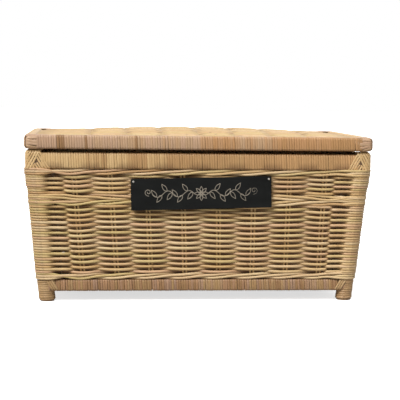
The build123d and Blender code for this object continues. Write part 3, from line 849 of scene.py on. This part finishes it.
def wrap_feet():
    """Peel wound round each post's foot, from the floor to the wall weave."""
    low, high = corners("foot_wraps")
    mesh = Mesh()
    turns = int(round((high[2] - low[2]) / 0.0055))
    t = np.arange(turns * 24 + 1) / 24
    z = low[2] + 0.0022 + (high[2] - low[2] - 0.004) * t / turns
    for sign_x, sign_y in SIGNS:
        angle = t * 2 * math.pi + rng.uniform(0, 6)
        closing = np.clip(1 - (z - low[2]) / FOOT_ROUND, 0, 1) ** 2
        reach = POST_RADIUS + 0.0022 + 0.0003 * np.sin(t * 1.7) - 0.0024 * closing
        normal = np.stack([np.cos(angle), np.sin(angle), -0.6 * closing], axis=-1)
        x = sign_x * post_x(z) + reach * normal[:, 0]
        y = sign_y * post_y(z) + reach * normal[:, 1]
        shade = patchy(0.05, 0.5)
        tints = np.array([shade(i * 0.01) for i in range(turns + 1)])[t.astype(int)]
        mesh.ribbon(np.stack([x, y, z], axis=-1), normal, 0.0053, tints, crest=0.0011)
    mesh.finish("foot_peel", "trunk", foot_cane, "base_peel", "foot_wraps")


def tie_base():
    """Three strips of peel aslant over each end of each base rail, which tie it to the post."""
    low, high = corners("base_wrap_front")
    mesh = Mesh()
    t = np.linspace(0, 1, 13)
    z = low[2] + 0.0015 + (high[2] - low[2] - 0.001) * t
    tuck = 0.0045 * (2 * t - 1) ** 6
    for sign_x, sign_y in SIGNS:
        for k in range(3):
            tint = rng.uniform(0.5, 0.85)
            inward = 0.0270 - 0.0055 * k - 0.0130 * t
            face = 0.0195 - tuck
            long_way = np.stack([sign_x * (post_x(z) - inward), sign_y * (post_y(z) + face), z], axis=-1)
            short_way = np.stack([sign_x * (post_x(z) + face), sign_y * (post_y(z) - inward), z], axis=-1)
            mesh.ribbon(long_way, np.tile((0, sign_y, 0), (len(t), 1)), 0.0046, tint, crest=0.0009)
            mesh.ribbon(short_way, np.tile((sign_x, 0, 0), (len(t), 1)), 0.0046, tint, crest=0.0009)
    mesh.finish("base_corner_peel", "trunk", foot_cane, "base_peel")


LID_DARK = ((-0.317, 0.008), (-0.262, 0.003), (-0.148, 0.004))  # place, half width of the lid's brown turns


def build_wraps():
    for side in SIDES:
        places = stake_places(side, WALL_TOP)
        # the end rails of the lid take the paler cane, painted light
        lid_material = lid_cane if side in ("front", "rear") else painted_light_end_cane
        rim = patchy(0.045, 0.35, (0.05, 0.80))
        lid = patchy(0.045, 0.45, (0.05, 0.85), LID_DARK if side == "front" else ())
        base = patchy(0.028, 0.45, (0.35, 0.60), spread=1.0)
        # painted shade on the rim, under the lid's frame and along the base's upper edge
        painted_shade = rim_painted_shade(places[1] - places[0])
        wrap_rail("rim", side, "trunk", rim_cane, painted_shade, rim, extend=0.012)
        wrap_rail("lid", side, "lid", lid_material, under_painted_shade, lid, extend=0.018)
        wrap_rail("base", side, "trunk", base_cane, edge_painted_shade, base, slack_low=0.87)
    wrap_feet()
    tie_base()


# ---- corner bindings


class Corner:
    """The outer surface of a bound corner: s runs round it from its long side (negative) to its short side,
    and v goes up it from its lower edge, over the upper edge and inwards."""

    def __init__(self, signs, face, radius, bottom, top, low_round, high_round, thick, length):
        self.signs = np.array([*signs, 1.0])
        self.face = face
        self.radius = radius
        self.bottom = bottom
        self.low_round, self.high_round = low_round, high_round
        self.thick, self.length = thick, length
        self.low_arc = low_round * math.pi / 2
        self.high_arc = high_round * math.pi / 2
        self.straight = top - bottom - low_round - high_round
        self.over = self.low_arc + self.straight + self.high_arc  # where the surface is level on top

    def section(self, v):
        """Inset from the outer face, height, and lean of the normal above the horizon, at v."""
        v = np.asarray(v, float)
        low = np.clip(v / self.low_round, 0, math.pi / 2)
        high = np.clip((v - self.low_arc - self.straight) / self.high_round, 0, math.pi / 2)
        flat = np.clip(v - self.over, 0, None)
        inset = self.low_round * (1 - np.sin(low)) + self.high_round * (1 - np.cos(high)) + flat
        inset = inset + np.clip(-v, 0, None)
        middle = np.clip(v - self.low_arc, 0, self.straight)
        z = self.bottom + self.low_round * (1 - np.cos(low)) + middle + self.high_round * np.sin(high)
        return inset, z, low + high - math.pi / 2

    def at(self, s, v, height=0.0):
        """Points at a height over the surface, and the normals there."""
        s, v = np.broadcast_arrays(np.asarray(s, float), np.asarray(v, float))
        inset, z, lean = self.section(v)
        turn = np.clip(s / self.radius, -math.pi / 4, math.pi / 4)
        straight = s - turn * self.radius
        angle = math.pi / 4 - turn
        reach = np.maximum(self.radius - inset, 0)
        beyond = np.maximum(inset - self.radius, 0)
        x = self.face[0] - self.radius + reach * np.cos(angle) + np.minimum(straight, 0)
        x = x - beyond * (straight > 0)
        y = self.face[1] - self.radius + reach * np.sin(angle) - np.maximum(straight, 0)
        y = y - beyond * (straight <= 0)
        normal = np.stack([np.cos(angle) * np.cos(lean), np.sin(angle) * np.cos(lean), np.sin(lean)], axis=-1)
        normal = normal * self.signs
        point = np.stack([x, y, z], axis=-1) * self.signs
        return point + normal * np.broadcast_to(height, s.shape)[..., None], normal

    def inward(self, distance):
        """The s of a place that is some distance in from the corner, on its long side."""
        return -(distance - self.radius + self.radius * math.pi / 4)

    def core(self):
        """Rings of the block under the strips, an L in plan."""
        rings = []
        steps = [*np.linspace(0, self.low_arc, 4), *np.linspace(self.low_arc + self.straight, self.over, 5)]
        for v in steps:
            inset, z, _ = (float(n) for n in self.section(v))
            arc = [self.at(s, v)[0] * self.signs for s in np.linspace(-1, 1, 9) * self.radius * math.pi / 4]
            inner = self.thick - 0.3 * inset
            x, y = self.face
            ring = [(x - self.length, y - inset, z), *arc, (x - inset, y - self.length, z)]
            hidden = ((inner, self.length), (inner, inner), (self.length, inner))
            ring += [(x - a, y - b, z) for a, b in hidden]
            rings.append([np.array(p) * self.signs for p in ring])
        return rings


def four_corners(node, under, over, **shape):
    """Four corners in the box of a CAD node, with room for the strips outside, under and over them."""
    low, high = corners(node)
    face = high[:2] - 0.0018
    bottom, top = low[2] + under, high[2] - over
    return [Corner(signs, face, bottom=bottom, top=top, **shape) for signs in SIGNS]


def core_piece(name, body, slot, blocks, replaced):
    """The blocks under the strips of four corners, as one piece, near-black as painted shade between the
    strips.
    """
    points, faces = [], []
    for block in blocks:
        rings = np.array(block.core())
        count = rings.shape[1]
        index = len(points) + np.arange(len(rings) * count).reshape(-1, count)
        after = np.roll(index, -1, axis=1)
        loops = [index[0][::-1].tolist(), index[-1].tolist()]
        loops += np.stack([index[:-1], after[:-1], after[1:], index[1:]], axis=-1).reshape(-1, 4).tolist()
        flip = block.signs[0] * block.signs[1] > 0
        faces += [loop[::-1] if flip else loop for loop in loops]
        points += rings.reshape(-1, 3).tolist()
    mesh = bpy.data.meshes.new(name)
    mesh.from_pydata(points, [], faces)
    mesh.validate()
    add_piece(name, mesh, body, painted_shade_pole, slot, replaced)


def across_top(mesh, block, distance, low, height, width, tint, side_height, lean):
    """A strip up the long side, aslant over the corner's top and down the short side. It lies at a height over
    the top and at side_height over the sides."""
    v = np.linspace(low, block.over, 14)
    climb = (v - low) / (block.over - low)
    s = block.inward(distance) - lean * (1 - climb)
    lift = side_height + (height - side_height) * smooth((climb - 0.6) / 0.4)
    up, up_normal = block.at(s, v, lift)
    down, down_normal = block.at(-s, v, lift)
    t = np.linspace(0, 1, 10)[1:-1, None]
    level = up[-1] * (1 - t) + down[-1] * t
    level_normal = np.broadcast_to(UP, level.shape)
    path = np.concatenate([up, level, down[::-1]])
    normal = np.concatenate([up_normal, level_normal, down_normal[::-1]])
    mesh.ribbon(path, normal, width, tint, crest=0.0009, start=tint * 2)


def aslant(mesh, block, mirror, distance, slope, low, high, height, width, tint):
    """A straight strip over the surface: it starts at a distance from the corner, leans and ends tucked in."""
    v = np.linspace(low, high, int((high - low) / 0.0022) + 3)
    s = block.inward(distance) - v / slope
    near = smooth((s + 0.004) / 0.008)
    lift = height * (1 - near) + 0.0004 * near - 0.0015 * smooth((v - high + 0.005) / 0.005)
    path, normal = block.at(-s if mirror else s, v, lift)
    mesh.ribbon(path, normal, width, tint, crest=0.0009, start=tint * 2)


RIM_LEAN = 0.0265  # how far a strip leans on its way up to the top of a rim corner


def bind_rim():
    """Peel bound criss-cross over each post head: strips up and away from the corner, and over its top."""
    blocks = four_corners(
        "rim_corner_bindings", 0.0005, 0.0026, radius=0.0115, low_round=0.001, high_round=0.0085,
        thick=0.023, length=0.032)
    mesh = Mesh()
    for block in blocks:
        tint = patchy(0.02, 0.9, (0.0, 0.2))
        for distance in (0.0405, 0.0467, 0.0529):
            near = distance - RIM_LEAN
            across_top(mesh, block, near, -0.001, 0.0013, 0.0046, tint(distance), 0.0003, RIM_LEAN)
        for mirror in (False, True):
            for distance in (0.0098, 0.0036, -0.0026, -0.0088, -0.0150):
                low = -0.001 if distance > -0.010 else 0.001
                top = block.over + 0.010
                aslant(mesh, block, mirror, distance, 1.96, low, top, 0.0010, 0.0048, tint(distance))
            aslant(mesh, block, mirror, 0.0155, 1.96, -0.001, 0.0150, 0.0003, 0.0042, tint(0.2))
            for distance, top in ((0.0345, 0.0165), (0.0280, 0.0130)):
                aslant(mesh, block, mirror, distance, -1.54, -0.001, top, 0.0001, 0.0042, tint(0.3))
    core_piece("rim_corner_blocks", "trunk", "rim_peel", blocks, "rim_corner_bindings")
    mesh.finish("rim_corner_peel", "trunk", rim_cane, "rim_peel")


LID_TURNS = 7  # turns of peel round each corner of the lid


def bind_lid():
    """Peel wound round each end of the lid's frame, then aslant over and under its corners."""
    blocks = four_corners(
        "lid_corner_bindings", 0.0012, 0.0022, radius=0.0135, low_round=0.0080, high_round=0.0090,
        thick=0.0222, length=0.0455)
    mesh = Mesh()
    for block in blocks:
        tint = patchy(0.02, 0.9, (0.0, 0.4))
        for row in range(LID_TURNS):
            level = block.low_arc * 0.35 + (block.over - block.low_arc * 0.7) * row / (LID_TURNS - 1)
            s = np.linspace(-0.034, 0.034, 31)
            tilt = rng.normal(0.10, 0.10)
            v = level + tilt * s + 0.0010 * np.sin(s * 90 + row)
            lift = 0.0006 - 0.0022 * smooth((np.abs(s) - 0.024) / 0.010)
            path, normal = block.at(s, v, lift)
            mesh.ribbon(path, normal, 0.0062, tint(row * 0.02), crest=0.0009, start=row * 0.3)
        for distance in (0.012, 0.018, 0.024, 0.030, 0.036, 0.042):
            start = block.over - block.high_arc - rng.uniform(0.001, 0.006)
            shade = tint(distance)
            lean = rng.uniform(-0.002, 0.004)
            across_top(mesh, block, distance, start, 0.0008, 0.0062, shade, -0.0004, lean)
    core_piece("lid_corner_blocks", "lid", "lid_peel", blocks, "lid_corner_bindings")
    mesh.finish("lid_corner_peel", "lid", lid_cane, "lid_peel")


# ---- plate


def plate_axes():
    """Middle of the plate's front face, and the directions along it, up it and out of it."""
    mesh = frame["nodes"]["name_plate"].data
    points = np.array([v.co for v in mesh.vertices])
    face = max((p for p in mesh.polygons if p.normal.y < -0.9), key=lambda p: p.area)
    out = np.array(face.normal)
    edges = [points[e.vertices[1]] - points[e.vertices[0]] for e in mesh.edges]
    along = unit(max(edges, key=lambda e: abs(e[0])))
    along = along * np.sign(along[0])
    upward = np.cross(out, along)
    reach = [points @ axis for axis in (along, upward, out)]
    middle = along * (reach[0].min() + reach[0].max()) / 2 + upward * (reach[1].min() + reach[1].max()) / 2
    return middle + out * reach[2].max(), along, upward, out


def leaf_outline(place, angle, length, width):
    """A pointed leaf that grows from a place. Its outline starts and ends a hair apart, so that no end faces
    coincide."""
    t = np.linspace(0.01, 1, 15)
    half = width * np.sin(math.pi * t ** 0.8) * 0.5
    near = np.stack([t * length, half], axis=-1)
    far = np.stack([t * length, -half], axis=-1)[::-1]
    loop = np.concatenate([near, far[1:]])
    turn = np.array([[math.cos(angle), math.sin(angle)], [-math.sin(angle), math.cos(angle)]])
    return loop @ turn + place


def curl(place, start, turns, size, way):
    """A spiral that winds in round a place."""
    t = np.linspace(0, 1, 26)
    angle = start + way * t * turns * 2 * math.pi
    reach = size * (1 - 0.85 * t)
    return np.stack([reach * np.cos(angle), reach * np.sin(angle)], axis=-1) + place


VINE_START, VINE_END = 0.016, 0.112  # from the plate's middle
LEAVES = 8  # on each half of the vine, and in the flower


def vine(p):
    """Height of the vine at a distance from the plate's middle."""
    return 0.0070 * np.sin((p - VINE_START) * 2 * math.pi / 0.048)


def ornament():
    """A vine with outlined leaves, in raised paint, about a flower of eight leaves."""
    middle, along, upward, out = plate_axes()
    lines = []
    for side in (-1, 1):
        p = np.linspace(VINE_START, VINE_END, 60)
        lines.append(np.stack([side * p, vine(p)], axis=-1))
        for k in range(LEAVES):
            place = 0.020 + 0.0118 * k
            lean = 0.95 if k % 2 else -0.95
            angle = lean if side > 0 else math.pi - lean
            lines.append(leaf_outline(np.array([side * place, vine(place)]), angle, 0.0200, 0.0080))
        lines.append(curl(np.array([side * 0.1215, 0.0045]), -math.pi / 2 - side * 0.2, 1.4, 0.0085, side))
    for k in range(LEAVES):
        angle = k * 2 * math.pi / LEAVES
        heart = 0.0010 * np.array([math.cos(angle), math.sin(angle)])
        lines.append(leaf_outline(heart, angle, 0.0155, 0.0068))
    mesh = Mesh()
    for line in lines:
        path = middle + line[:, :1] * along + line[:, 1:] * upward + out * 0.00012
        normal = np.broadcast_to(out, path.shape)
        mesh.ribbon(path, normal, 0.0014, rng.random(), crest=0.00025, depth=0.0)
    mesh.finish("plate_ornament", "trunk", paint, "slate")


build_walls()
build_panels()
build_wraps()
bind_rim()
bind_lid()
ornament()

# ---- floor, light and camera


def stage():
    """A white floor, which throws back less light than it shows, so that the undersides keep their shade."""
    reach = 40
    mesh = bpy.data.meshes.new("floor")
    outline = [(x * reach, y * reach, 0) for x, y in ((-1, -1), (1, -1), (1, 1), (-1, 1))]
    mesh.from_pydata(outline, [], [(0, 1, 2, 3)])
    ground = bpy.data.objects.new("floor", mesh)
    bpy.context.collection.objects.link(ground)
    n = Nodes(bpy.data.materials.new("floor"))
    ray = n.add("ShaderNodeLightPath").outputs["Is Camera Ray"]
    where = n.place()
    mottle = n.ramp(n.noise(where, 6.0, 4.0), [(0.3, (0.93, 0.93, 0.93)), (0.7, (0.95, 0.95, 0.95))])
    n.put(n.shader.inputs["Base Color"], n.mix(ray, (0.42, 0.41, 0.39, 1), mottle))
    n.put(n.shader.inputs["Emission Color"], mottle)
    n.put(n.shader.inputs["Emission Strength"], n.times(ray, 0.72))
    n.shader.inputs["Roughness"].default_value = 0.85
    n.shader.inputs["Specular IOR Level"].default_value = 0.1
    mesh.materials.append(n.owner)


def sun(name, direction, strength, angle, colour):
    """A broad soft light that falls along a direction."""
    data = bpy.data.lights.new(name, "SUN")
    data.energy = strength
    data.angle = math.radians(angle)
    data.color = colour
    light = bpy.data.objects.new(name, data)
    light.rotation_euler = Vector(direction).to_track_quat("-Z", "Y").to_euler()
    bpy.context.collection.objects.link(light)


def world(horizon, zenith, backdrop):
    """A soft sky, brighter overhead than at the horizon, with a plain white backdrop."""
    n = Nodes(bpy.data.worlds.new("studio"), "Background")
    height = n.parts(n.add("ShaderNodeTexCoord").outputs["Generated"])["Z"]
    sky = n.add("ShaderNodeMapRange", {"Value": height, "To Min": horizon, "To Max": zenith})
    ray = n.add("ShaderNodeLightPath").outputs["Is Camera Ray"]
    seen = n.add("ShaderNodeMix", {"Factor": ray, "A": sky.outputs["Result"], "B": backdrop}).outputs["Result"]
    n.put(n.shader.inputs["Strength"], seen)
    n.shader.inputs["Color"].default_value = (1, 1, 1, 1)
    bpy.context.scene.world = n.owner


def camera():
    """Stands well back from the front, a little left of the middle and above the lid, and turned slightly."""
    data = bpy.data.cameras.new("camera")
    data.sensor_width = 36.0
    data.lens = 103.68
    data.clip_end = 30
    view = bpy.data.objects.new("camera", data)
    bpy.context.collection.objects.link(view)
    yaw, pitch, roll = math.radians(-5.38), math.radians(-5.35), math.radians(0.76)
    view.location = (-0.246, -2.825, 0.4845)
    aim = Euler((math.pi / 2 + pitch, 0, yaw)).to_matrix() @ Matrix.Rotation(roll, 3, "Z")
    view.rotation_euler = aim.to_euler()
    bpy.context.scene.camera = view


stage()
world(0.30, 0.90, 1.0)
sun("key", (0.58, 0.72, -1.0), 3.2, 26, (1.0, 0.98, 0.95))
sun("back", (-0.5, -1.0, -0.35), 0.8, 60, (1.0, 0.98, 0.96))
camera()
bpy.context.scene.view_settings.view_transform = "Standard"
